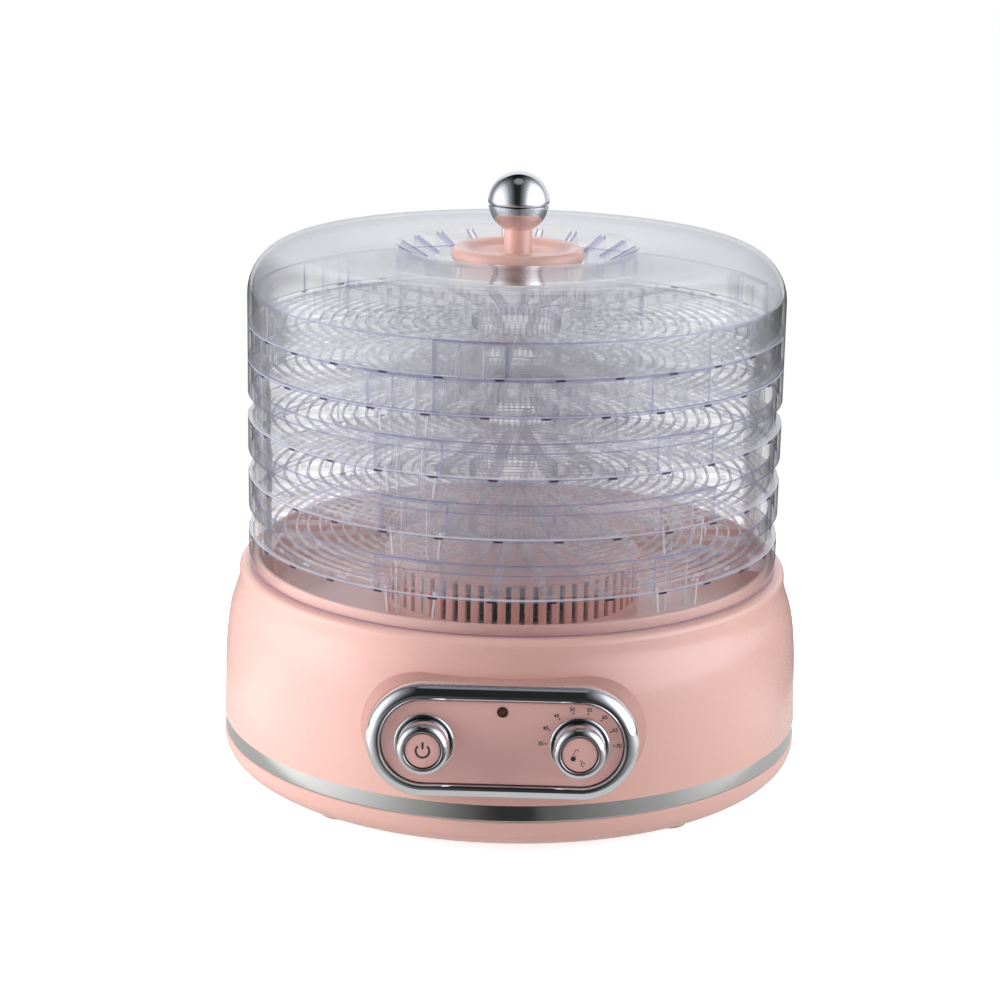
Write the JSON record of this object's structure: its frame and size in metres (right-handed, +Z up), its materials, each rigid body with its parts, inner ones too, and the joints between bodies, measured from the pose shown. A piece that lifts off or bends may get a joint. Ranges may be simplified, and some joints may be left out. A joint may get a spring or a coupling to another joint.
{
  "type": "food dehydrator",
  "caption": "Round food dehydrator: a pink base with fan and heater, a stack of clear trays and a clear domed lid with a ball handle.",
  "frame": {"origin": "on the vertical axis of the round stack, on the surface that the feet stand on, which is the bottom centre of the whole box", "axes": "+Z up along the stack's axis; -Y towards the control panel; +X to the right seen from the front"},
  "size_m": [0.301, 0.351, 0.3109],
  "materials": {
    "pink_abs": "moulded gloss ABS",
    "chrome_plate": "chrome-plated ABS",
    "polished_steel": "polished strip",
    "clear_styrene": "clear moulded polystyrene",
    "foot_rubber": "matt",
    "black_nylon": "moulded",
    "white_nylon": "moulded",
    "zinc_steel": "zinc-plated",
    "brass": "turned",
    "mica": "mica sheet",
    "heating_wire": "coiled resistance wire",
    "wire_insulation": "silicone insulation",
    "smoked_lens": "polished",
    "red_led": "clear epoxy",
    "circuit_board": "solder mask"
  },
  "bodies": {
    "base": {"base_housing": "pink_abs", "trim_band": "polished_steel", "bottom_cover": "pink_abs", "feet": "foot_rubber", "cover_screws": "zinc_steel", "cord_gland": "black_nylon", "air_tower": "pink_abs", "heat_duct": "zinc_steel", "duct_screws": "zinc_steel", "motor_bracket": "zinc_steel", "bracket_screws": "zinc_steel", "fan_motor": "zinc_steel", "motor_screws": "zinc_steel", "heater_frame": "mica", "heater_coil": "heating_wire", "thermal_cutout": "zinc_steel", "terminal_block": "white_nylon", "terminal_screws": "brass", "wiring": "wire_insulation", "panel_bezel": "chrome_plate", "panel_plate": "pink_abs", "power_collar": "chrome_plate", "temp_collar": "chrome_plate", "indicator_lens": "smoked_lens", "indicator_led": "red_led", "control_board": "circuit_board", "board_screws": "zinc_steel", "power_switch": "black_nylon", "temp_control": "black_nylon"},
    "power_button": {"power_button_ring": "chrome_plate", "power_button_cap": "pink_abs", "power_button_stem": "white_nylon"},
    "temp_knob": {"temp_knob_ring": "chrome_plate", "temp_knob_cap": "pink_abs", "temp_knob_shaft": "zinc_steel"},
    "fan": {"fan_impeller": "black_nylon", "motor_shaft": "zinc_steel"},
    "tray_5": {"tray_5": "clear_styrene"},
    "tray_4": {"tray_4": "clear_styrene"},
    "tray_3": {"tray_3": "clear_styrene"},
    "tray_2": {"tray_2": "clear_styrene"},
    "tray_1": {"tray_1": "clear_styrene"},
    "lid": {"lid_dome": "clear_styrene", "handle_base": "pink_abs", "handle_ball_lower": "chrome_plate", "handle_ball_upper": "chrome_plate", "handle_insert": "brass", "handle_washer": "zinc_steel", "handle_screw": "zinc_steel"}
  },
  "joints": [
    {"name": "tray_5_lift", "type": "slide", "parent": "base", "child": "tray_5", "axis": [0, 0, 1], "range_m": [0, 0.06]},
    {"name": "tray_4_lift", "type": "slide", "parent": "tray_5", "child": "tray_4", "axis": [0, 0, 1], "range_m": [0, 0.06]},
    {"name": "tray_3_lift", "type": "slide", "parent": "tray_4", "child": "tray_3", "axis": [0, 0, 1], "range_m": [0, 0.06]},
    {"name": "tray_2_lift", "type": "slide", "parent": "tray_3", "child": "tray_2", "axis": [0, 0, 1], "range_m": [0, 0.06]},
    {"name": "tray_1_lift", "type": "slide", "parent": "tray_2", "child": "tray_1", "axis": [0, 0, 1], "range_m": [0, 0.06]},
    {"name": "lid_lift", "type": "slide", "parent": "tray_1", "child": "lid", "axis": [0, 0, 1], "range_m": [0, 0.08]},
    {"name": "fan_spin", "type": "hinge", "parent": "base", "child": "fan", "pos_m": [0, 0, 0.039], "axis": [0, 0, 1], "continuous": true},
    {"name": "power_press", "type": "slide", "parent": "base", "child": "power_button", "axis": [0, 0.9976, -0.0698], "range_m": [0, 0.003], "stiffness_N_per_m": 400},
    {"name": "temp_turn", "type": "hinge", "parent": "base", "child": "temp_knob", "pos_m": [0.0367, -0.15931, 0.0627], "axis": [0, 0.9976, -0.0698], "range_deg": [-27.5, 147.5]}
  ]
}
